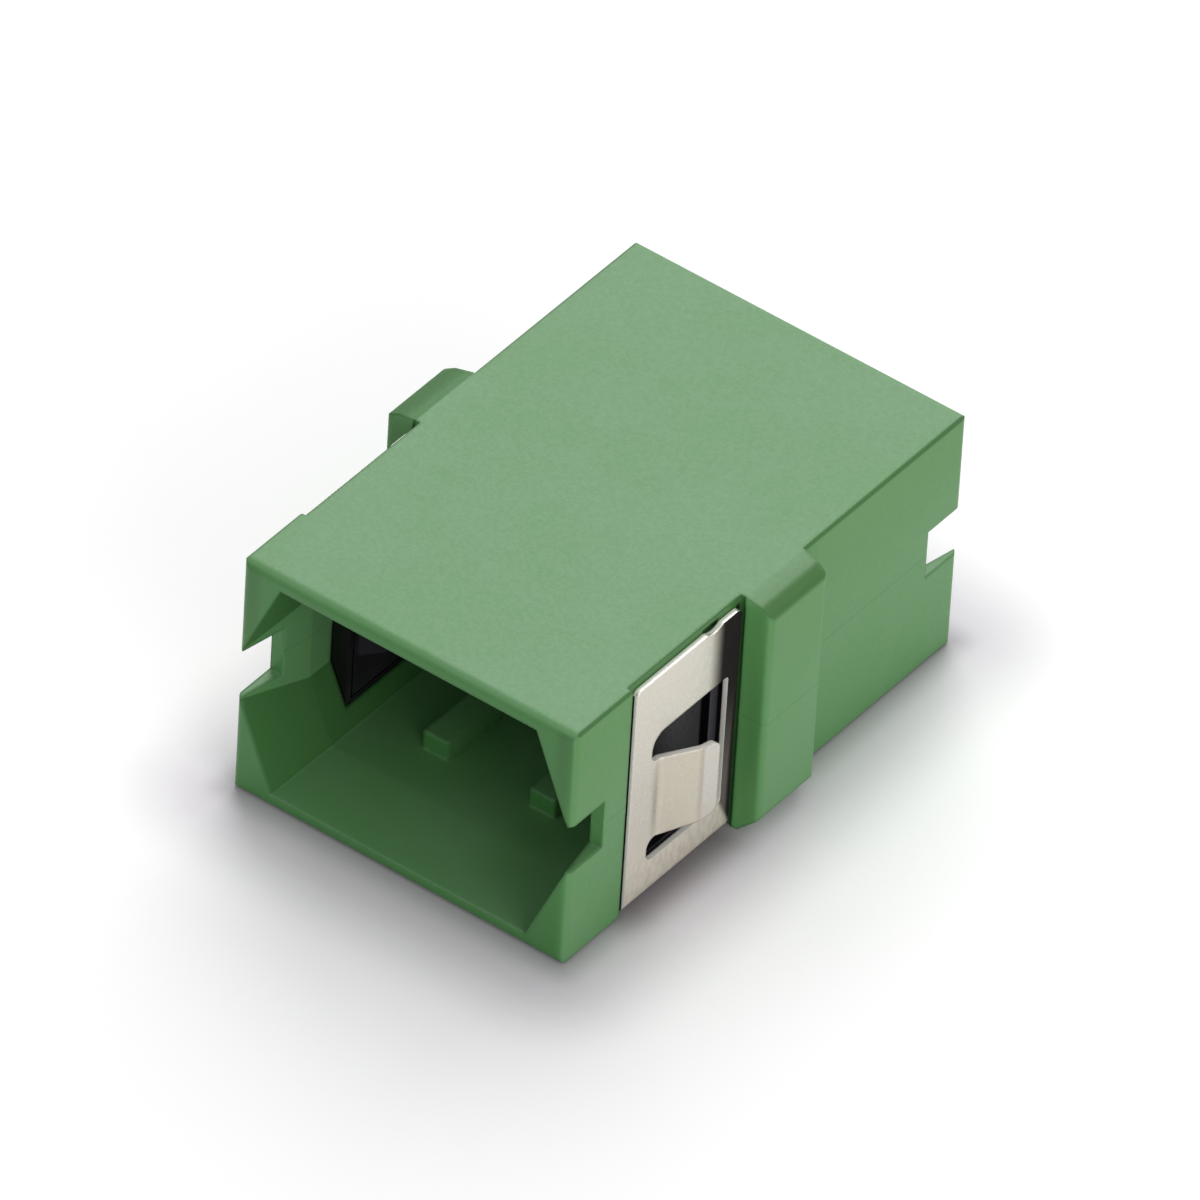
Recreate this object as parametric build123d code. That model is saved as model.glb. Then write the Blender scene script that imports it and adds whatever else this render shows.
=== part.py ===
from build123d import *
import os
from math import hypot

os.makedirs("parts", exist_ok=True)

# All sizes in millimetres.
# X runs across the coupler, +Y along the plug axis towards the rear port, +Z up.
# The origin is the centre of the base.

# Housing: a flat tube, moulded as two halves that are welded together at mid-height
body_width = 13.0
body_height = 9.4
body_length = 20.2
end_corner_radius = 0.3         # upright edges at both ends
end_rim_radius = 0.3            # edges of the top and the base at both ends
side_rim_radius = 0.14          # edges of the top and the base along the sides

# Flange: its front face is the seat against the panel
seat_offset = 1.45              # seat in front of the housing's mid-plane
flange_thickness = 3.05         # at the root
flange_reach = 1.05             # out from each side of the body
flange_slant = 0.2              # the rear face leans forward by this much
flange_seat_radius = 0.2        # upright edge of the seat
flange_rear_radius = 0.2        # upright edge at the outer end of the rear face
flange_top_drop = 0.08          # the top slopes down by this much towards its chamfer
flange_top_chamfer_out = 0.45
flange_top_chamfer_down = 0.24
flange_foot_out = 0.8
flange_foot_up = 0.8
flange_chamfer_radius = 0.25    # where the chamfers meet the other faces

# Port channel: eight-sided, wider at the mouths
side_wall = 0.7
top_wall = 0.75
channel_flat = 3.4              # height of the upright part of the channel's sides
channel_top_width = 9.6
mouth_depth = 2.9               # length of the tapered lead-in
mouth_flare_side = 0.55
mouth_flare_top = 0.25
mouth_flat_loss = 1.4           # the upright part is lower by this much at the mouth
mouth_top_gain = 0.4            # the flat top and base are wider by this much at the mouth
side_notch_depth = 1.75         # slot in each side wall at both mouths
side_notch_height = 1.9

# Key guides: two ribs with the plug's key between them, below in the front port, above in the rear
key_gap = 3.2
key_rib_width = 1.0
key_rib_height = 0.7
key_rib_length = 4.4

# Locating pegs of the lower half, in holes of the upper half
peg_radius = 0.3
peg_length = 1.2
peg_root = 0.6                  # sunk in the lower half
peg_clearance = 0.04

# Latch inserts: a base frame round the ferrules, with a hooked arm on each side
base_thickness = 1.0
base_seat = 0.35                # how far the base frame reaches into the housing wall
ferrule_window_width = 6.8
ferrule_window_height = 3.0
ferrule_window_radius = 0.3
insert_clearance = 0.03
arm_thickness = 0.6
arm_height = 3.0
arm_length = 4.6
arm_side_gap = 0.05             # between the arm and the channel's side
hook_reach = 0.6
hook_land = 0.4                 # flat top of the hook
hook_ramp = 0.7
hook_back_slant = 0.15
arm_tip_lead = 0.15
arm_relief = 0.35               # pocket in the rear port's side walls, where its arms flex

# Window frame of the front insert, seated in a window of each side wall behind the clip
frame_bar = 0.25
frame_end_bar = 0.4
frame_sink = 0.03               # below the floor of the clip's recess
frame_ledge_width = 0.4
frame_ledge_drop = 0.22
frame_front_margin = 0.16       # bars hidden behind the clip, past its cut-out
frame_side_margin = 0.12
pad_drop = 0.5                  # from the body's side down to the pad of the arm
pad_gap = 0.08                  # between the pad and the frame
pad_ledge_gap = 0.4             # between the pad and the ledge

# Panel clip: one folded strip of spring steel, under the base and up both sides
clip_thickness = 0.2
clip_play = 0.02                # between the clip and the housing
clip_length = 5.35              # along Y
clip_seat_gap = 0.15            # between the clip and the flange
clip_front_gap = 0.25           # between the clip and the front end of its recess
clip_undercut = 0.05            # the recess runs this far into the root of the flange
clip_top_drop = 0.3             # below the top of the housing
clip_bend_radius = 0.25         # inside the two lower bends
clip_corner_radius = 0.25
cutout_front_margin = 1.0       # from the clip's front edge
cutout_length = 3.85
cutout_base = 1.45              # above the base
cutout_height = 5.2
cutout_upper_front_radius = 0.6
cutout_lower_front_radius = 0.4
cutout_rear_radius = 0.15

# Pry notch in the top edge of each wing, over a pocket in the housing
pry_notch_offset = 1.5          # from the flange to the middle of the notch
pry_notch_width = 0.8
pry_notch_depth = 0.12
pry_pocket_depth = 0.3
pry_pocket_drop = 0.3           # below the clip's top edge
pry_pocket_rise = 0.1           # above the clip's top edge

# Spring tab of each wing: folded out twice, its free end holds the panel against the flange
tab_slot_above = 1.1            # between the tab's root and the top of the cut-out
tab_slot_below = 0.9
tab_root_overlap = 0.25         # into the wing, in front of the cut-out
tab_root_radius = 0.36          # between the tab's sides and the front edge of the cut-out
tab_taper = 0.15                # each side of the tab slants inwards by this much
tab_corner_radius = 0.35
tab_flat = 0.42                 # from the cut-out's front edge to the first fold
tab_rise = 0.7                  # outward, at the second fold
tab_ramp = 1.33                 # along Y, first fold to second
tab_lip_rise = 0.13
tab_lip = 0.72                  # along Y, second fold to the free end

# Helpers of the modelling
overrun = 1.0                   # solids that cut run past the faces that they cut
near = 0.01                     # for finding edges by their place

# Places that follow from the sizes above
half_width = body_width / 2
half_length = body_length / 2
mid_height = body_height / 2
seat_y = -seat_offset
flange_rear_y = seat_y + flange_thickness
flange_half_width = half_width + flange_reach
channel_half_width = half_width - side_wall
channel_half_height = mid_height - top_wall
channel_floor = mid_height - channel_half_height
base_room_y = base_thickness + insert_clearance

clip_depth = clip_thickness + clip_play
recess_half_width = half_width - clip_depth
clip_inner_x = half_width - clip_thickness
clip_rear_y = seat_y - clip_seat_gap
clip_front_y = clip_rear_y - clip_length
recess_front_y = clip_front_y - clip_front_gap
clip_top = body_height - clip_top_drop
cutout_front_y = clip_front_y + cutout_front_margin
cutout_rear_y = cutout_front_y + cutout_length
cutout_top = cutout_base + cutout_height
tab_root_height = cutout_height - tab_slot_below - tab_slot_above
tab_end_height = tab_root_height - 2 * tab_taper
tab_center = cutout_base + tab_slot_below + tab_root_height / 2
pry_notch_y = seat_y - pry_notch_offset

arm_outer_x = channel_half_width - arm_side_gap
arm_inner_x = arm_outer_x - arm_thickness
frame_outer_x = recess_half_width - frame_sink
frame_y = (cutout_front_y - frame_front_margin, cutout_rear_y + frame_side_margin + frame_end_bar)
frame_z = (cutout_base - frame_side_margin, cutout_top + frame_side_margin)
frame_opening_y = (frame_y[0] + frame_bar, frame_y[1] - frame_end_bar)
frame_opening_z = (frame_z[0] + frame_bar, frame_z[1] - frame_bar)
ledge_front_y = frame_opening_y[1] - frame_ledge_width


def span_box(x, y, z):
    """A box given by its lowest and highest value along each axis."""
    size = (x[1] - x[0], y[1] - y[0], z[1] - z[0])
    centre = ((x[0] + x[1]) / 2, (y[0] + y[1]) / 2, (z[0] + z[1]) / 2)
    return Pos(*centre) * Box(*size)


def widened(span, margin):
    """The span with the margin added at both ends."""
    return (span[0] - margin, span[1] + margin)


def polygon(points):
    """The flat face within the points."""
    return make_face(Polyline(*points, close=True))


def rounded(outline, corners, radius):
    """The outline with the corners nearest to these points rounded."""
    for x, y in corners:
        corner = outline.vertices().sort_by_distance((x, y, 0))[0]
        outline = fillet(corner, radius)
    return outline


def sides(point):
    """The flat point and its mirror image on the other side of the plug axis."""
    return [point, (-point[0], point[1])]


def mirrored(points):
    """The flat face within the points of its right half, in order, and their mirror images."""
    return polygon(points + [(-x, y) for x, y in reversed(points)])


def both_sides(solid):
    """The solid and its mirror image on the other side of the plug axis."""
    return solid + mirror(solid, about=Plane.YZ)


def both_ends(solid):
    """The solid and its mirror image at the other port."""
    return solid + mirror(solid, about=Plane.XZ)


def across(y):
    """The plane across the plug axis at y, with its own axes along X and Z at mid-height."""
    return Plane(origin=(0, y, mid_height), x_dir=(1, 0, 0), z_dir=(0, -1, 0))


def side_on(z):
    """The plane along the plug axis, seen from the +X side, with its own axes along Y and Z."""
    return Plane(origin=(0, 0, z), x_dir=(0, 1, 0), z_dir=(1, 0, 0))


def prism_along_y(outline, front_y, rear_y):
    """The outline, carried along the plug axis."""
    return extrude(across(rear_y) * outline, rear_y - front_y)


def low_edges(solid, height):
    """The edges along the plug axis that lie at the height or below it."""
    return [edge for edge in solid.edges().filter_by(Axis.Y) if edge.center().Z < height + near]


def eight_sided(half_width_here, half_height_here, flat_height, top_width):
    """The port's outline: upright sides, a flat top and base, and four slanted sides."""
    quarter = [(top_width / 2, half_height_here), (half_width_here, flat_height / 2)]
    return mirrored(quarter + [(x, -z) for x, z in reversed(quarter)])


def channel_outline(grow=0.0):
    """The channel's section inside the lead-ins, or one that is larger by grow all round."""
    return eight_sided(
        channel_half_width + grow,
        channel_half_height + grow,
        channel_flat + grow,
        channel_top_width + grow,
    )


def channel():
    """The hollow of the housing: the channel and its two lead-ins."""
    mouth = eight_sided(
        channel_half_width + mouth_flare_side,
        channel_half_height + mouth_flare_top,
        channel_flat - mouth_flat_loss,
        channel_top_width + mouth_top_gain,
    )
    throat_y = half_length - mouth_depth
    lead_in = loft([across(half_length) * mouth, across(throat_y) * channel_outline()])
    lead_in += prism_along_y(mouth, half_length, half_length + overrun)
    return prism_along_y(channel_outline(), -half_length, half_length) + both_ends(lead_in)


def outer_block():
    """The body's outside, with its edges rounded."""
    plan = extrude(RectangleRounded(body_width, body_length, end_corner_radius), body_height)
    side_view = RectangleRounded(body_length, body_height, end_rim_radius)
    end_view = RectangleRounded(body_width, body_height, side_rim_radius)
    seen_from_side = Pos(-half_width, 0, 0) * extrude(side_on(mid_height) * side_view, body_width)
    return plan & seen_from_side & prism_along_y(end_view, -half_length, half_length)


def flange():
    """The flange: square to the panel in front, slanted behind, with cut upper and lower corners."""
    seat_corner = (flange_half_width, seat_y)
    rear_corner = (flange_half_width, flange_rear_y - flange_slant)
    plan = mirrored([seat_corner, rear_corner, (half_width, flange_rear_y)])
    plan = rounded(plan, sides(seat_corner), flange_seat_radius)
    plan = rounded(plan, sides(rear_corner), flange_rear_radius)

    base = (flange_half_width - flange_foot_out, -mid_height)
    foot = (flange_half_width, flange_foot_up - mid_height)
    crest = (flange_half_width - flange_top_chamfer_out, mid_height - flange_top_drop)
    shoulder = (flange_half_width, crest[1] - flange_top_chamfer_down)
    end_view = mirrored([base, foot, shoulder, crest, (half_width, mid_height)])
    for corner in (foot, shoulder, crest):
        end_view = rounded(end_view, sides(corner), flange_chamfer_radius)
    return extrude(plan, body_height) & prism_along_y(end_view, seat_y, flange_rear_y)


def clip_recess():
    """What is taken off the housing for the clip: a shallow band round both sides and the base."""
    length = (recess_front_y, seat_y + clip_undercut)
    core_width = (-recess_half_width, recess_half_width)
    band = span_box((-half_width, half_width), length, widened((0, body_height), overrun))
    core = span_box(core_width, widened(length, overrun), (clip_depth, body_height + 2 * overrun))
    core = fillet(low_edges(core, clip_depth), clip_bend_radius + clip_play)
    return band - core


def pry_pocket():
    """The pocket on the +X side, behind the pry notch."""
    return span_box(
        (recess_half_width - pry_pocket_depth, half_width + overrun),
        (pry_notch_y - pry_notch_width / 2, pry_notch_y + pry_notch_width / 2),
        (clip_top - pry_pocket_drop, clip_top + pry_pocket_rise),
    )


def mouth_notch():
    """The slot in the +X side wall at the front mouth."""
    return span_box(
        (channel_half_width - mouth_flare_side, half_width + overrun),
        (-half_length - overrun, -half_length + side_notch_depth),
        (mid_height - side_notch_height / 2, mid_height + side_notch_height / 2),
    )


def frame_window():
    """The window in the +X side wall, where the front insert's frame sits."""
    return span_box(
        (arm_inner_x - insert_clearance, half_width + overrun),
        widened(frame_y, insert_clearance),
        widened(frame_z, insert_clearance),
    )


def flex_pocket():
    """The pocket in the +X side wall, beside the rear insert's arm."""
    return span_box(
        (channel_half_width - arm_relief, channel_half_width + arm_relief),
        (base_room_y, base_thickness + arm_length + arm_relief),
        widened((mid_height - arm_height / 2, mid_height + arm_height / 2), arm_relief),
    )


def key_ribs():
    """The two ribs on the channel's floor in the front port."""
    rib = span_box(
        (key_gap / 2, key_gap / 2 + key_rib_width),
        (-base_room_y - key_rib_length, -base_room_y),
        (channel_floor - top_wall / 2, channel_floor + key_rib_height),
    )
    return both_sides(rib)


def housing():
    """The whole housing, before it is parted at mid-height."""
    base_room = prism_along_y(channel_outline(base_seat + insert_clearance), -base_room_y, base_room_y)
    body = outer_block() + flange() - channel() - base_room - clip_recess()
    body -= both_ends(both_sides(mouth_notch()))
    body -= both_sides(pry_pocket() + frame_window())
    body -= both_sides(flex_pocket())
    front_ribs = key_ribs()
    rear_ribs = front_ribs.rotate(Axis((0, 0, mid_height), (1, 0, 0)), 180)
    return body + front_ribs + rear_ribs


def halves():
    """The lower and upper halves, with pegs and holes in the flange."""
    whole = housing()
    width = (-flange_half_width - overrun, flange_half_width + overrun)
    length = (-half_length - overrun, half_length + overrun)
    lower = whole & span_box(width, length, (-overrun, mid_height))
    upper = whole & span_box(width, length, (mid_height, body_height + overrun))

    base_room_x = channel_half_width + base_seat + insert_clearance
    peg_x = (base_room_x + flange_half_width) / 2
    peg_base = Pos(peg_x, 0, mid_height - peg_root)
    standing = (Align.CENTER, Align.CENTER, Align.MIN)
    peg_reach = peg_root + peg_length
    peg = peg_base * Cylinder(peg_radius, peg_reach, align=standing)
    hole = peg_base * Cylinder(peg_radius + peg_clearance, peg_reach + peg_clearance, align=standing)
    return lower + both_sides(peg), upper - both_sides(hole)


def latch_arm():
    """The front insert's arm on the +X side, ending in a hook that faces the plug axis."""
    root_y = -base_thickness / 2
    tip_y = -base_thickness - arm_length
    hook_x = arm_inner_x - hook_reach
    land_front_y = tip_y + hook_ramp
    land_rear_y = land_front_y + hook_land
    outside = [(arm_outer_x, root_y), (arm_outer_x, tip_y + arm_tip_lead)]
    tip = [(arm_outer_x - arm_tip_lead, tip_y), (arm_inner_x, tip_y)]
    hook = [(hook_x, land_front_y), (hook_x, land_rear_y), (arm_inner_x, land_rear_y + hook_back_slant)]
    outline = polygon(outside + tip + hook + [(arm_inner_x, root_y)])
    return Pos(0, 0, mid_height - arm_height / 2) * extrude(outline, arm_height)


def window_frame():
    """The frame on the +X side that seats in the housing's window, with a ledge at its rear bar."""
    depth = (arm_inner_x, frame_outer_x)
    frame = span_box(depth, frame_y, frame_z)
    frame -= span_box(widened(depth, overrun), frame_opening_y, frame_opening_z)
    ledge_depth = (arm_inner_x, recess_half_width - frame_ledge_drop)
    ledge_y = (ledge_front_y, frame_opening_y[1])
    return frame + span_box(ledge_depth, ledge_y, frame_opening_z)


def arm_pad():
    """The wide pad on the +X arm of the front insert, which fills the window frame but for a gap."""
    length = (frame_opening_y[0] + pad_gap, ledge_front_y - pad_ledge_gap)
    return span_box((arm_inner_x, half_width - pad_drop), length, widened(frame_opening_z, -pad_gap))


def latch_insert(framed):
    """The front insert: base frame, two arms and, if framed, a pad and a window frame on each side."""
    base = prism_along_y(channel_outline(base_seat), -base_thickness, 0)
    ferrules = RectangleRounded(ferrule_window_width, ferrule_window_height, ferrule_window_radius)
    base -= prism_along_y(ferrules, -base_thickness - overrun, overrun)
    side = latch_arm()
    if framed:
        side += window_frame() + arm_pad()
    return base + both_sides(side)


def folded_strip(points, thickness):
    """The face of a sheet folded along the points, with its thickness on the left of their path."""
    steps = [(b[0] - a[0], b[1] - a[1]) for a, b in zip(points, points[1:])]
    units = [(dx / hypot(dx, dy), dy / hypot(dx, dy)) for dx, dy in steps]
    before = units[:1] + units
    after = units + units[-1:]
    inner = []
    for (x, y), u, v in zip(points, before, after):
        miter = thickness / (1 + u[0] * v[0] + u[1] * v[1])
        inner.append((x - miter * (u[1] + v[1]), y + miter * (u[0] + v[0])))
    return polygon(points + inner[::-1])


def spring_tab():
    """The tab of the +X wing, folded outward twice towards the flange."""
    root_y = cutout_front_y - tab_root_overlap
    first_fold_y = cutout_front_y + tab_flat
    second_fold_y = first_fold_y + tab_ramp
    end_y = second_fold_y + tab_lip
    second_fold_x = half_width + tab_rise
    path = [(half_width, root_y), (half_width, first_fold_y)]
    path += [(second_fold_x, second_fold_y), (second_fold_x + tab_lip_rise, end_y)]
    sheet = extrude(folded_strip(path, clip_thickness), tab_root_height)
    sheet = Pos(0, 0, tab_center - tab_root_height / 2) * sheet

    upper = [(root_y, tab_root_height / 2), (first_fold_y, tab_root_height / 2), (end_y, tab_end_height / 2)]
    lower = [(y, -z) for y, z in reversed(upper)]
    side_view = polygon(upper + lower)
    end_corners = side_view.vertices().group_by(Axis.X)[-1]
    side_view = fillet(end_corners, tab_corner_radius)
    return sheet & extrude(side_on(tab_center) * side_view, body_width)


def side_hole():
    """The cut-out of the +X wing, round the root of the tab."""
    top = cutout_top - tab_center
    base = cutout_base - tab_center
    root = tab_root_height / 2
    fold_y = cutout_front_y + tab_flat
    upper = [(fold_y, root), (cutout_front_y, root), (cutout_front_y, top), (cutout_rear_y, top)]
    lower = [(cutout_rear_y, base), (cutout_front_y, base), (cutout_front_y, -root), (fold_y, -root)]
    outline = polygon(upper + lower)
    outline = rounded(outline, [(cutout_front_y, top)], cutout_upper_front_radius)
    outline = rounded(outline, [(cutout_front_y, base)], cutout_lower_front_radius)
    outline = rounded(outline, [(cutout_rear_y, top), (cutout_rear_y, base)], cutout_rear_radius)
    outline = rounded(outline, [(cutout_front_y, root), (cutout_front_y, -root)], tab_root_radius)
    return extrude(side_on(tab_center) * outline, body_width)


def panel_clip():
    """The clip: strap, two wings with their cut-outs and spring tabs."""
    length = (clip_front_y, clip_rear_y)
    outer = span_box((-half_width, half_width), length, (0, clip_top))
    outer = fillet(low_edges(outer, 0), clip_bend_radius + clip_thickness)
    room_z = (clip_thickness, clip_top + overrun)
    inner = span_box((-clip_inner_x, clip_inner_x), widened(length, overrun), room_z)
    inner = fillet(low_edges(inner, clip_thickness), clip_bend_radius)
    strip = outer - inner
    top_corners = [edge for edge in strip.edges().filter_by(Axis.X) if edge.center().Z > clip_top - near]
    strip = fillet(top_corners, clip_corner_radius)
    strip -= both_sides(side_hole())

    notch_radius = ((pry_notch_width / 2) ** 2 + pry_notch_depth ** 2) / (2 * pry_notch_depth)
    notch_z = clip_top - pry_notch_depth + notch_radius
    strip -= Pos(0, pry_notch_y, notch_z) * Rot(0, 90, 0) * Cylinder(notch_radius, 2 * body_width)
    return strip + both_sides(spring_tab())


lower_housing, upper_housing = halves()
nodes = {
    "lower_housing": lower_housing,
    "upper_housing": upper_housing,
    "front_latch": latch_insert(framed=True),
    "rear_latch": mirror(latch_insert(framed=False), about=Plane.XZ),
    "panel_clip": panel_clip(),
}
for name, solid in nodes.items():
    export_step(solid, f"parts/{name}.step")
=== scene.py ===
import math

import bpy
from mathutils import Matrix, Vector

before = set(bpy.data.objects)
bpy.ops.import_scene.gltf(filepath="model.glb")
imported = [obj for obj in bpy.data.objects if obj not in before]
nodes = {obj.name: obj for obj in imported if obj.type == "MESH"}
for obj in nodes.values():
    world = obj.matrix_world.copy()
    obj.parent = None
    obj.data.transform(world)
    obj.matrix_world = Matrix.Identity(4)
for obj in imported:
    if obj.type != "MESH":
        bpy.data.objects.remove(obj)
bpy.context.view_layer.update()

MM = 0.001

# Places on the object, in millimetres
BODY_HEIGHT = 9.4
HALF_WIDTH = 6.5                # of the body, without its flange
HALF_LENGTH = 10.1
SEAM_Z = BODY_HEIGHT / 2        # where the halves of the housing meet
SEAT_Y = -1.45                  # front face of the flange
CLIP_REAR_Y = -1.60
CLIP_FRONT_Y = -6.95
CLIP_TOP = 9.1
FIRST_FOLD_Y = -5.53            # the clip's tabs slope outwards from here
LIP_Y = -4.20                   # and are nearly level from here
TAB_Z = 3.95                    # middle of the tabs
REFLECTION_LINE_Y = -2.08            # the painted dark reflection's lower end slants up from here
REFLECTION_LINE_SLOPE = 2.05

# Radius of the softened edges, in millimetres
GREEN_RADIUS = 0.20
GREEN_SLANT_RADIUS = 0.35
BLACK_RADIUS = 0.05
STEEL_RADIUS = 0.08

# Linear colours
GREEN = (0.122, 0.308, 0.112, 1)
GREEN_PALE = (0.138, 0.316, 0.133, 1)
GREEN_SHADE_AND_SEAM = (0.046, 0.156, 0.037, 1)
GREEN_EAR_SHADE = (0.044, 0.152, 0.018, 1)
GREEN_END_SHADE = (0.066, 0.230, 0.060, 1)
GREEN_LIT_SEAT = (0.118, 0.345, 0.107, 1)
GREEN_LIT_SEAT_NEAR = (0.150, 0.430, 0.135, 1)
GREEN_SIDE_SHADE = (0.102, 0.284, 0.083, 1)
GREEN_GAP_SHADE = (0.006, 0.009, 0.006, 1)
BLACK = (0.015, 0.011, 0.017, 1)
BLACK_PALE = (0.023, 0.018, 0.026, 1)
BLACK_LEDGE_HIGHLIGHT = (0.075, 0.070, 0.080, 1)
BLACK_SHADE = (0.004, 0.004, 0.004, 1)
STEEL = (0.710, 0.662, 0.612, 1)
STEEL_LIT_LOW = (1.000, 0.950, 0.870, 1)
STEEL_WARM = (0.740, 0.680, 0.580, 1)
STEEL_CUT_HIGHLIGHT = (0.980, 0.960, 0.890, 1)
STEEL_TAB_SHADE = (0.600, 0.552, 0.458, 1)
STEEL_LIT_LIP = (0.640, 0.600, 0.555, 1)
STEEL_CREASE_SHADE = (0.350, 0.310, 0.250, 1)
STEEL_MATT = (0.730, 0.670, 0.575, 1)
STEEL_SOIL = (0.400, 0.350, 0.255, 1)
STEEL_PAINTED_DARK = (0.014, 0.012, 0.013, 1)
STEEL_PAINTED_DARK_LOW = (0.145, 0.128, 0.116, 1)
FLOOR = (0.900, 0.900, 0.905, 1)
FLOOR_SHADOW = (0.873, 0.824, 0.890, 1)
FLOOR_CONTACT_SHADOW = (0.505, 0.480, 0.512, 1)
FLOOR_CLIP_SHADOW = (0.170, 0.160, 0.172, 1)
WHITE = (1, 1, 1, 1)

# Levels of light
FLOOR_GLOW = 0.28
AMBIENT = 0.40
KEY_LEVEL = 0.58
FILL_LEVEL = 0.32

# Floor and lamps, in metres
FLOOR_SIZE = 3.0
FLOOR_Z = -0.00001
LAMP_DISTANCE = 0.45
KEY_SIZE = 0.36
FILL_SIZE = 0.30


class Nodes:
    """Short calls for building a material's node tree. Lengths given as numbers are in millimetres."""

    def __init__(self, name):
        self.material = bpy.data.materials.new(name)
        self.material.use_nodes = True
        self.tree = self.material.node_tree
        self.tree.nodes.clear()
        self.shader = self.add("ShaderNodeBsdfPrincipled")
        self.output = self.add("ShaderNodeOutputMaterial")
        self.link(self.shader.outputs["BSDF"], self.output.inputs["Surface"])
        self.place = self.add("ShaderNodeTexCoord").outputs["Object"]

    def add(self, kind, **settings):
        node = self.tree.nodes.new(kind)
        for key, value in settings.items():
            setattr(node, key, value)
        return node

    def link(self, source, target):
        self.tree.links.new(source, target)

    def feed(self, socket, value):
        if isinstance(value, bpy.types.NodeSocket):
            self.link(value, socket)
        else:
            socket.default_value = value

    def surface(self, sockets):
        """Feed the shader's sockets, given by name, and return the material."""
        for name, value in sockets.items():
            self.feed(self.shader.inputs[name], value)
        return self.material

    # Numbers

    def math(self, operation, a, b=0.0, clamp=False):
        node = self.add("ShaderNodeMath", operation=operation, use_clamp=clamp)
        self.feed(node.inputs[0], a)
        self.feed(node.inputs[1], b)
        return node.outputs[0]

    def times(self, *values):
        product = values[0]
        for value in values[1:]:
            product = self.math("MULTIPLY", product, value)
        return product

    def larger(self, a, b):
        return self.math("MAXIMUM", a, b)

    def size(self, value):
        return self.math("ABSOLUTE", value)

    def spread(self, value, low, high, to_low=0.0, to_high=1.0):
        """Smooth step from to_low, where the value is low, to to_high, where it is high."""
        node = self.add("ShaderNodeMapRange", interpolation_type="SMOOTHSTEP")
        self.feed(node.inputs["Value"], value)
        for key, number in (("From Min", low), ("From Max", high), ("To Min", to_low), ("To Max", to_high)):
            node.inputs[key].default_value = number
        return node.outputs["Result"]

    # Places

    def axes(self, vector=None):
        node = self.add("ShaderNodeSeparateXYZ")
        self.link(vector or self.place, node.inputs[0])
        return node.outputs

    def beyond_side(self, x):
        """How far out from the body's side faces a place is."""
        return self.math("SUBTRACT", self.size(x), HALF_WIDTH * MM)

    def after(self, length, start, end, to_start=0.0, to_end=1.0):
        """0 up to the start and 1 from the end, or the two numbers given."""
        return self.spread(length, start * MM, end * MM, to_start, to_end)

    def before(self, length, start, end, most=1.0):
        """The most up to the start, and 0 from the end."""
        return self.after(length, start, end, most, 0.0)

    def away(self, length, centre):
        return self.size(self.math("SUBTRACT", length, centre * MM))

    def band(self, length, centre, half_width):
        """1 at the centre, falling to 0 at half_width from it."""
        return self.before(self.away(length, centre), 0.0, half_width)

    # Directions

    def flat_normal(self):
        return self.add("ShaderNodeNewGeometry").outputs["Normal"]

    def faces(self, component):
        """1 where a face looks along the normal's component, either way."""
        return self.spread(self.size(component), 0.6, 0.95)

    def soft_edges(self, radius):
        node = self.add("ShaderNodeBevel", samples=6)
        node.inputs["Radius"].default_value = radius * MM
        return node.outputs["Normal"]

    # Textures

    def noise(self, scale, detail, stretch=(1, 1, 1)):
        mapping = self.add("ShaderNodeMapping")
        mapping.inputs["Scale"].default_value = stretch
        self.link(self.place, mapping.inputs["Vector"])
        node = self.add("ShaderNodeTexNoise")
        node.inputs["Scale"].default_value = scale
        node.inputs["Detail"].default_value = detail
        self.link(mapping.outputs[0], node.inputs["Vector"])
        return node.outputs["Fac"]

    def mix(self, share, a, b):
        node = self.add("ShaderNodeMix", data_type="RGBA")
        self.feed(node.inputs[0], share)
        self.feed(node.inputs[6], a)
        self.feed(node.inputs[7], b)
        return node.outputs[2]

    def bump(self, height, distance, strength, normal):
        node = self.add("ShaderNodeBump")
        node.inputs["Strength"].default_value = strength
        node.inputs["Distance"].default_value = distance * MM
        self.link(height, node.inputs["Height"])
        self.link(normal, node.inputs["Normal"])
        return node.outputs["Normal"]


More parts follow.
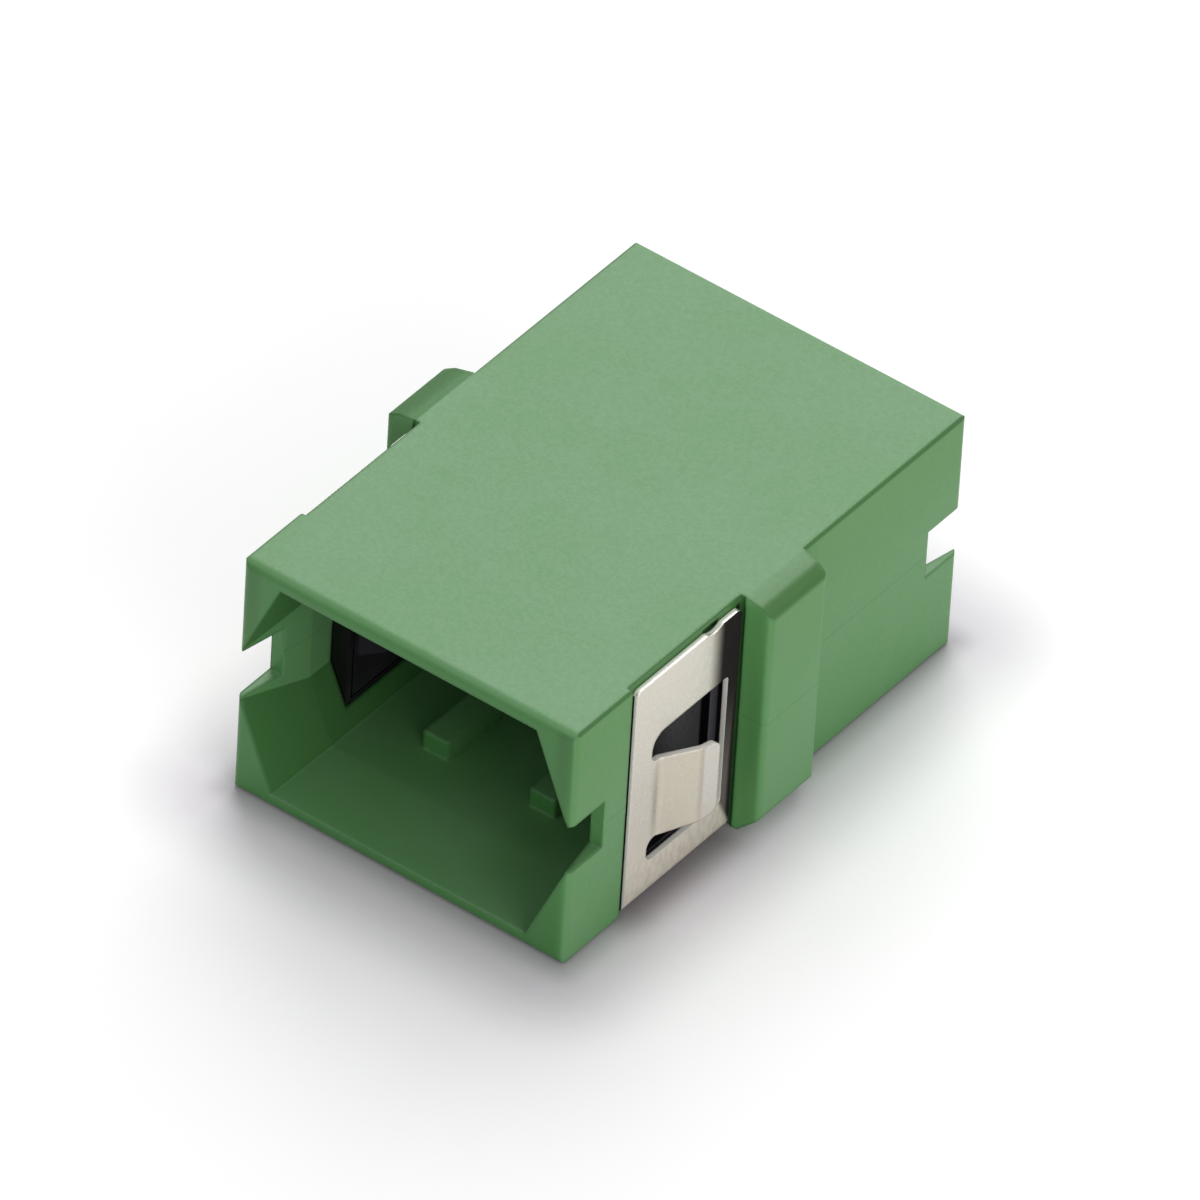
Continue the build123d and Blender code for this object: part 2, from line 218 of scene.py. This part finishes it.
def green_plastic():
    """Satin moulded plastic of the housing, with painted shade on its ends, sides, edges, recess and gaps, and
    painted light on the seat of the flange.
    """
    n = Nodes("green_plastic")
    x, y, z = n.axes()
    side = n.beyond_side(x)
    flat_normal = n.flat_normal()
    facing = n.axes(flat_normal)
    cloud = n.spread(n.noise(260, 3.0), 0.35, 0.65)
    colour = n.mix(cloud, GREEN, GREEN_PALE)
    # painted shade makes the end faces a little darker and deeper in colour, and painted light makes the seat of
    # the flange a little lighter, most next to the body
    ends = n.faces(facing[1])
    seat = n.mix(n.after(side, 0.0, 0.60), GREEN_LIT_SEAT_NEAR, GREEN_LIT_SEAT)
    colour = n.mix(ends, colour, n.mix(n.after(side, -0.01, 0.03), GREEN_END_SHADE, seat))
    # painted shade darkens the end faces beside the mouth and the sides towards the top
    upper = n.after(z, 3.5, 9.0)
    rim = n.times(ends, upper, n.after(side, -0.9, -0.5), n.before(side, -0.01, 0.03, 0.6))
    colour = n.mix(rim, colour, GREEN_SHADE_AND_SEAM)
    sides = n.times(n.faces(facing[0]), n.larger(upper, 0.25))
    colour = n.mix(sides, colour, GREEN_SIDE_SHADE)
    # painted shade darkens the slants between the top and the sides, on the flange with soft borders
    from_seam = n.away(z, SEAM_Z)
    soft = n.axes(n.mix(n.after(side, 0.02, 0.08), flat_normal, n.soft_edges(GREEN_SLANT_RADIUS)))
    slant = n.spread(n.times(n.size(soft[2]), n.size(soft[0])), 0.12, 0.42)
    slant = n.times(slant, n.after(from_seam, 0.5, 0.8, 0.0, 0.95))
    colour = n.mix(slant, colour, GREEN_SHADE_AND_SEAM)
    # painted shade darkens the top of the flange too, more so on the left, where all of the flange is painted
    # darker and is also rougher
    left = n.before(x, -HALF_WIDTH, -HALF_WIDTH + 0.10)
    ear = n.times(n.after(side, -0.15, 0.55, 0.25, 1.0), n.after(side, -0.10, 0.0), n.spread(facing[2], 0.3, 0.7))
    ear = n.times(ear, n.math("ADD", n.times(left, 0.5), 0.4))
    ear = n.larger(ear, n.times(left, 0.5))
    colour = n.mix(ear, colour, n.mix(left, GREEN_EAR_SHADE, GREEN_SHADE_AND_SEAM))
    # the weld seam at mid-height
    seam = n.band(z, SEAM_Z, 0.045)
    colour = n.mix(n.times(seam, 0.34), colour, GREEN_SHADE_AND_SEAM)
    # painted shade darkens the floor of the clip's recess
    recess = n.times(
        n.after(side, -0.25, -0.23), n.before(side, -0.05, -0.01),
        n.before(y, SEAT_Y, SEAT_Y + 0.1), n.after(y, CLIP_FRONT_Y - 0.3, CLIP_FRONT_Y - 0.2))
    colour = n.mix(n.times(recess, 0.7), colour, GREEN_SHADE_AND_SEAM)
    # painted shade makes the narrow gap between the clip and the flange almost black
    gap = n.times(
        n.after(y, CLIP_REAR_Y - 0.06, CLIP_REAR_Y - 0.02), n.before(y, SEAT_Y + 0.01, SEAT_Y + 0.06),
        n.before(side, 0.0, 0.06), n.before(z, CLIP_TOP - 0.1, CLIP_TOP + 0.1), n.after(side, -0.5, -0.4))
    colour = n.mix(gap, colour, GREEN_GAP_SHADE)
    grain = n.noise(9000, 2.0)
    roughness = n.math("ADD", n.spread(grain, 0.3, 0.7, 0.40, 0.50), n.times(left, 0.2))
    # rounded edges, but the halves meet almost without one
    edges = n.mix(n.band(z, SEAM_Z, 0.4), n.soft_edges(GREEN_RADIUS), flat_normal)
    relief = n.math("SUBTRACT", n.times(grain, 0.35), n.times(seam, 0.3))
    return n.surface({
        "Base Color": colour,
        "Roughness": roughness,
        "IOR": 1.49,
        "Specular IOR Level": 0.42,
        "Normal": n.bump(relief, 0.006, 0.6, edges),
    })


def black_plastic():
    """Moulded plastic of the two inserts, with painted shade in its gaps and on the arm's pad, and a painted
    highlight on a ledge.
    """
    n = Nodes("black_plastic")
    x, y, z = n.axes()
    side = n.beyond_side(x)
    facing = n.axes(n.flat_normal())
    cloud = n.spread(n.noise(700, 3.0), 0.35, 0.65)
    colour = n.mix(cloud, BLACK, BLACK_PALE)
    # a painted highlight makes the ledge of the frame behind the clip's cut-out paler
    ledge = n.times(n.after(side, -0.47, -0.45), n.before(side, -0.40, -0.38))
    colour = n.mix(n.times(ledge, 0.8), colour, BLACK_LEDGE_HIGHLIGHT)
    # painted shade makes the arm's pad darkest towards the front
    shade = n.times(n.before(y, -5.2, -3.9, 0.8), n.after(side, -0.60, -0.55))
    colour = n.mix(shade, colour, BLACK_SHADE)
    # painted shade makes the gaps and the walls beside them darkest
    deep = n.times(n.before(side, -0.62, -0.54), n.after(side, -0.90, -0.80))
    walls = n.spread(n.size(facing[0]), 0.4, 0.8, 1.0, 0.0)
    colour = n.mix(n.larger(deep, walls), colour, BLACK_SHADE)
    grain = n.noise(9000, 2.0)
    return n.surface({
        "Base Color": colour,
        "Roughness": n.spread(grain, 0.3, 0.7, 0.36, 0.48),
        "IOR": 1.5,
        "Specular IOR Level": 0.2,
        "Normal": n.bump(grain, 0.004, 0.5, n.soft_edges(BLACK_RADIUS)),
    })


def spring_steel():
    """Rolled strip of the clip, with a painted dark reflection next to the flange, painted light and shade on its
    lower part, tabs, folds and cut edges, and a soiled foot.
    """
    n = Nodes("spring_steel")
    x, y, z = n.axes()
    side = n.beyond_side(x)
    facing = n.axes(n.flat_normal())
    sideways = n.size(facing[0])
    grain = n.noise(5200, 3.0, (1, 1, 0.6))
    cloud = n.noise(420, 3.0)
    # painted light makes the strip lighter towards its foot
    colour = n.mix(n.after(z, 1.2, 5.2), STEEL_LIT_LOW, STEEL)
    colour = n.mix(n.spread(cloud, 0.30, 0.75, 0.40, 0.0), colour, STEEL_WARM)
    colour = n.mix(n.spread(grain, 0.30, 0.70, 0.22, 0.0), colour, STEEL_WARM)
    # painted shade makes the sloping part of the tabs darker and warmer, from just before its fold, and painted
    # light makes the lip paler
    root = n.times(
        n.after(y, FIRST_FOLD_Y - 0.30, FIRST_FOLD_Y - 0.14),
        n.before(y, FIRST_FOLD_Y + 0.3, FIRST_FOLD_Y + 0.5),
        n.before(n.away(z, TAB_Z), 1.40, 1.65, 0.8))
    outside = n.after(side, 0.0, 0.10)
    raised = n.larger(outside, root)
    lip = n.after(y, LIP_Y - 0.10, LIP_Y + 0.10)
    colour = n.mix(n.times(raised, 0.9), colour, n.mix(lip, STEEL_TAB_SHADE, STEEL_LIT_LIP))
    # painted shade shows the folds as faint dark lines
    first_fold = n.times(n.band(y, FIRST_FOLD_Y - 0.15, 0.30), n.band(z, TAB_Z, 2.2))
    crease = n.larger(first_fold, n.times(n.band(y, LIP_Y, 0.14), raised))
    colour = n.mix(n.times(crease, 0.42), colour, STEEL_CREASE_SHADE)
    # the foot of the wings is matt and soiled, and so is the strip next to the flange
    towards_seat = n.after(y, SEAT_Y - 1.75, SEAT_Y - 0.95)
    upright = n.spread(sideways, 0.2, 0.7)
    foot = n.times(n.before(z, 1.2, 3.6, 0.8), n.larger(upright, 0.3))
    matt = n.larger(n.times(towards_seat, n.times(upright, 0.85)), foot)
    soil = n.math("ADD", n.spread(grain, 0.35, 0.68, 0.0, 0.40), n.before(z, 0.2, 1.4, 0.18))
    soil = n.math("MULTIPLY", soil, n.spread(cloud, 0.30, 0.60, 0.4, 1.0), clamp=True)
    colour = n.mix(matt, colour, n.mix(soil, STEEL_MATT, STEEL_SOIL))
    # a painted dark reflection of the flange covers that strip, down to a slanting line above the lower bend
    slanting = n.times(n.math("SUBTRACT", y, REFLECTION_LINE_Y * MM), REFLECTION_LINE_SLOPE)
    above = n.after(n.math("ADD", z, slanting), 1.00, 1.50)
    flange_reflection = n.times(towards_seat, above, n.spread(sideways, 0.4, 0.8), n.before(side, 0.02, 0.10))
    darkest = n.larger(n.after(z, 1.8, 6.5), n.after(y, SEAT_Y - 0.45, SEAT_Y - 0.25))
    colour = n.mix(n.times(flange_reflection, 0.98), colour, n.mix(darkest, STEEL_PAINTED_DARK_LOW, STEEL_PAINTED_DARK))
    # the sheared edges are matt, with a painted highlight that makes them bright, and a painted shadow at the
    # front edge deep in the recess
    cut = n.times(n.spread(sideways, 0.35, 0.65, 1.0, 0.0), n.spread(facing[2], -0.7, -0.4))
    shadow = n.times(n.before(side, -0.12, -0.09), n.before(y, CLIP_FRONT_Y + 0.01, CLIP_FRONT_Y + 0.03), cut)
    colour = n.mix(shadow, n.mix(cut, colour, STEEL_CUT_HIGHLIGHT), STEEL_PAINTED_DARK)
    # the outer half of the wings' upper edge is polished
    bright = n.times(
        n.after(side, -0.13, -0.09), n.after(z, CLIP_TOP - 0.3, CLIP_TOP - 0.2),
        n.spread(facing[2], 0.4, 0.7, 0.0, 0.75))
    dull = n.larger(n.math("SUBTRACT", cut, bright), n.larger(flange_reflection, matt))
    return n.surface({
        "Base Color": colour,
        "Metallic": n.math("SUBTRACT", 1.0, dull),
        "Roughness": n.math("ADD", n.spread(grain, 0.25, 0.75, 0.24, 0.33), n.times(dull, 0.15)),
        "Specular IOR Level": 0.0,
        "Normal": n.bump(grain, 0.001, 0.18, n.soft_edges(STEEL_RADIUS)),
    })


def seen_directly(tree):
    """1 for rays that come from the camera, a reflection or a clear solid, 0 for the light given."""
    path = tree.nodes.new("ShaderNodeLightPath")
    result = path.outputs["Is Camera Ray"]
    for ray in ("Is Glossy Ray", "Is Transmission Ray"):
        either = tree.nodes.new("ShaderNodeMath")
        either.operation = "MAXIMUM"
        tree.links.new(result, either.inputs[0])
        tree.links.new(path.outputs[ray], either.inputs[1])
        result = either.outputs[0]
    return result


def floor_material():
    """White when looked at, with the lamps' shadow and a painted shadow close to the housing, deepest where they
    touch and beside the clip.
    """
    n = Nodes("floor")
    x, y, z = n.axes()
    beyond_x = n.larger(n.beyond_side(x), 0.0)
    beyond_y = n.larger(n.math("SUBTRACT", n.size(y), HALF_LENGTH * MM), 0.0)
    away = n.math("SQRT", n.math("ADD", n.math("POWER", beyond_x, 2.0), n.math("POWER", beyond_y, 2.0)))
    # painted shadow: close to the housing the floor is darker and does not glow, darkest where they touch
    far = n.after(away, 0.0, 4.5)
    near = n.mix(n.after(away, -0.3, 1.1), FLOOR_CONTACT_SHADOW, FLOOR_SHADOW)
    # a painted shadow makes the floor darker still beside the clip
    clip = n.times(n.after(y, -8.2, -6.4), n.before(y, -2.2, -0.8), n.before(away, 0.0, 1.6, 0.75))
    near = n.mix(clip, near, FLOOR_CLIP_SHADOW)
    return n.surface({
        "Base Color": n.mix(far, near, FLOOR),
        "Roughness": 0.55,
        "Specular IOR Level": 0.2,
        "Emission Color": WHITE,
        "Emission Strength": n.times(far, FLOOR_GLOW, seen_directly(n.tree)),
    })


# The housing's halves share one material, and so do the inserts
for names, material in (
        (("upper_housing", "lower_housing"), green_plastic()),
        (("front_latch", "rear_latch"), black_plastic()),
        (("panel_clip",), spring_steel())):
    for name in names:
        nodes[name].data.materials.clear()
        nodes[name].data.materials.append(material)

# Floor
bpy.ops.mesh.primitive_plane_add(size=FLOOR_SIZE, location=(0, 0, FLOOR_Z))
floor = bpy.context.object
floor.name = "floor"
floor.data.materials.append(floor_material())

# World: white to look at and in reflections, a plain level for the light that it gives
world = bpy.data.worlds.new("world")
bpy.context.scene.world = world
world.use_nodes = True
world_tree = world.node_tree
world_tree.nodes.clear()
level = world_tree.nodes.new("ShaderNodeMapRange")
level.inputs["To Min"].default_value = AMBIENT
level.inputs["To Max"].default_value = 1.0
world_tree.links.new(seen_directly(world_tree), level.inputs["Value"])
background = world_tree.nodes.new("ShaderNodeBackground")
background.inputs["Color"].default_value = WHITE
world_tree.links.new(level.outputs["Result"], background.inputs["Strength"])
world_output = world_tree.nodes.new("ShaderNodeOutputWorld")
world_tree.links.new(background.outputs[0], world_output.inputs["Surface"])


def softbox(name, direction, distance, size, level):
    """A square lamp that lights a surface facing it at the level, where 1 shows a colour as written."""
    data = bpy.data.lights.new(name, "AREA")
    data.shape = "SQUARE"
    data.size = size
    data.energy = level * math.pi ** 2 * distance ** 2
    lamp = bpy.data.objects.new(name, data)
    bpy.context.scene.collection.objects.link(lamp)
    away = Vector(direction).normalized()
    lamp.location = away * distance
    lamp.rotation_mode = "QUATERNION"
    lamp.rotation_quaternion = away.to_track_quat("Z", "Y")


softbox("key", (-0.34, 0.65, 0.68), LAMP_DISTANCE, KEY_SIZE, KEY_LEVEL)
softbox("fill", (0.84, -0.36, 0.40), LAMP_DISTANCE, FILL_SIZE, FILL_LEVEL)

# Camera: the photograph's direction and distance, with a longer lens
AZIMUTH = 35.09                 # degrees
ELEVATION = 41.18
ROLL = 3.54
DISTANCE = 773.9 * MM
PHOTO_WIDTH = 1200              # pixels
PHOTO_FOCAL = 11026.6           # pixels
OFFSET = (17.8, 54.1)           # of the object from the photograph's middle, in pixels, right and up
CLOSER = 2.25
SENSOR_WIDTH = 36.0             # millimetres

az = math.radians(AZIMUTH)
el = math.radians(ELEVATION)
roll = math.radians(ROLL)
back = Vector((math.sin(az) * math.cos(el), -math.cos(az) * math.cos(el), math.sin(el)))
right = (-back).cross(Vector((0, 0, 1))).normalized()
up = right.cross(-back)
right, up = (math.cos(roll) * right + math.sin(roll) * up, -math.sin(roll) * right + math.cos(roll) * up)
# the camera moves sideways by the offset, and then looks at the object's middle
centre = Vector((0, 0, BODY_HEIGHT * MM / 2))
place = centre + DISTANCE * (back - (OFFSET[0] * right + OFFSET[1] * up) / PHOTO_FOCAL)
back = (place - centre).normalized()
right = up.cross(back).normalized()
up = back.cross(right)

camera_data = bpy.data.cameras.new("camera")
camera_data.sensor_width = SENSOR_WIDTH
camera_data.lens = PHOTO_FOCAL / PHOTO_WIDTH * SENSOR_WIDTH * CLOSER
camera_data.clip_start = 0.05
camera_data.clip_end = 10.0
camera = bpy.data.objects.new("camera", camera_data)
bpy.context.scene.collection.objects.link(camera)
camera.rotation_mode = "QUATERNION"
camera.matrix_world = Matrix.Translation(place) @ Matrix((right, up, back)).transposed().to_4x4()
bpy.context.scene.camera = camera
bpy.context.scene.view_settings.view_transform = "Standard"
